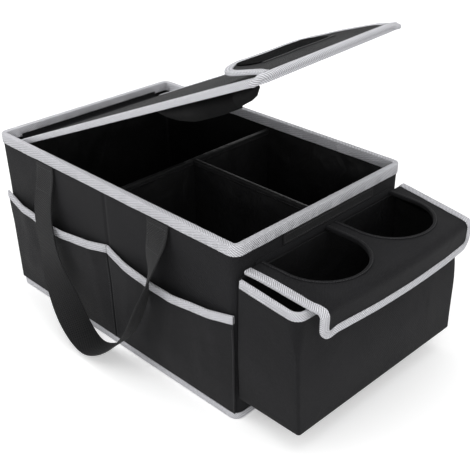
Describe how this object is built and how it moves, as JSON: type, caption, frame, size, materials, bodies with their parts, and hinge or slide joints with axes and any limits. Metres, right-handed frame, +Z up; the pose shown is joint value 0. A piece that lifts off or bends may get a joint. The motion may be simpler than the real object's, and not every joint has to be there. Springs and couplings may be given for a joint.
{
  "type": "back seat organizer",
  "caption": "Open fabric storage box with dividers, a lid with a fold-over closure flap, side pockets, webbing handles and a cup holder pouch on one end.",
  "frame": {"origin": "on the floor under the middle of the box, without the cup holder pouch", "axes": "+X along the box towards the cup holder pouch, +Y from the near long wall to the far one, +Z up"},
  "size_m": [0.5346, 0.3794, 0.404],
  "materials": {
    "outer_cloth": "black plain-woven cloth, matt",
    "lining_cloth": "thin black coated lining, slightly glossy and wrinkled",
    "webbing": "black ribbed webbing",
    "grey_tape": "light grey twill binding tape",
    "hook_loop": "black hook and loop strip",
    "board": "plain stiffener board between the cloths"
  },
  "bodies": {
    "box": {"base_cloth": "outer_cloth", "lining": "lining_cloth", "base_board": "lining_cloth", "near_wall": "outer_cloth", "far_wall": "outer_cloth", "left_wall": "outer_cloth", "right_wall": "outer_cloth", "near_board_left": "board", "near_board_right": "board", "far_board_left": "board", "far_board_right": "board", "left_board": "board", "right_board": "board", "rim_binding": "grey_tape", "bottom_binding": "grey_tape", "cross_divider": "lining_cloth", "long_divider": "lining_cloth", "near_pocket_left": "outer_cloth", "near_pocket_left_binding": "grey_tape", "near_pocket_right": "outer_cloth", "near_pocket_right_binding": "grey_tape", "far_pocket_left": "outer_cloth", "far_pocket_left_binding": "grey_tape", "far_pocket_right": "outer_cloth", "far_pocket_right_binding": "grey_tape", "near_handle": "webbing", "far_handle": "webbing", "loop_patch": "hook_loop", "cover_hinge_tape": "outer_cloth", "lid_hinge_tape": "outer_cloth", "pouch": "outer_cloth", "pouch_binding": "grey_tape"},
    "lid": {"lid_cloth": "outer_cloth", "lid_lining": "lining_cloth", "lid_board": "board", "lid_binding": "grey_tape", "lid_corner_tab": "lining_cloth"},
    "closure_flap": {"closure_flap": "outer_cloth", "closure_flap_binding": "grey_tape", "hook_strip": "hook_loop"},
    "cup_cover": {"cup_cover": "outer_cloth", "cup_cover_binding": "grey_tape", "cup_edging_near": "outer_cloth", "cup_edging_far": "outer_cloth"}
  },
  "joints": [
    {"name": "lid_hinge", "type": "hinge", "parent": "box", "child": "lid", "pos_m": [-0.197, 0, 0.207], "axis": [0, -1, 0], "range_deg": [-20.2, 76.6]},
    {"name": "closure_flap_hinge", "type": "hinge", "parent": "lid", "child": "closure_flap", "pos_m": [0.2243, 0, 0.39748], "axis": [-0.0142, 0.9994, 0.0328], "range_deg": [-5, 174]},
    {"name": "cup_cover_hinge", "type": "hinge", "parent": "box", "child": "cup_cover", "pos_m": [0.2137, 0, 0.192], "axis": [0, -1, 0], "range_deg": [0, 20]}
  ]
}
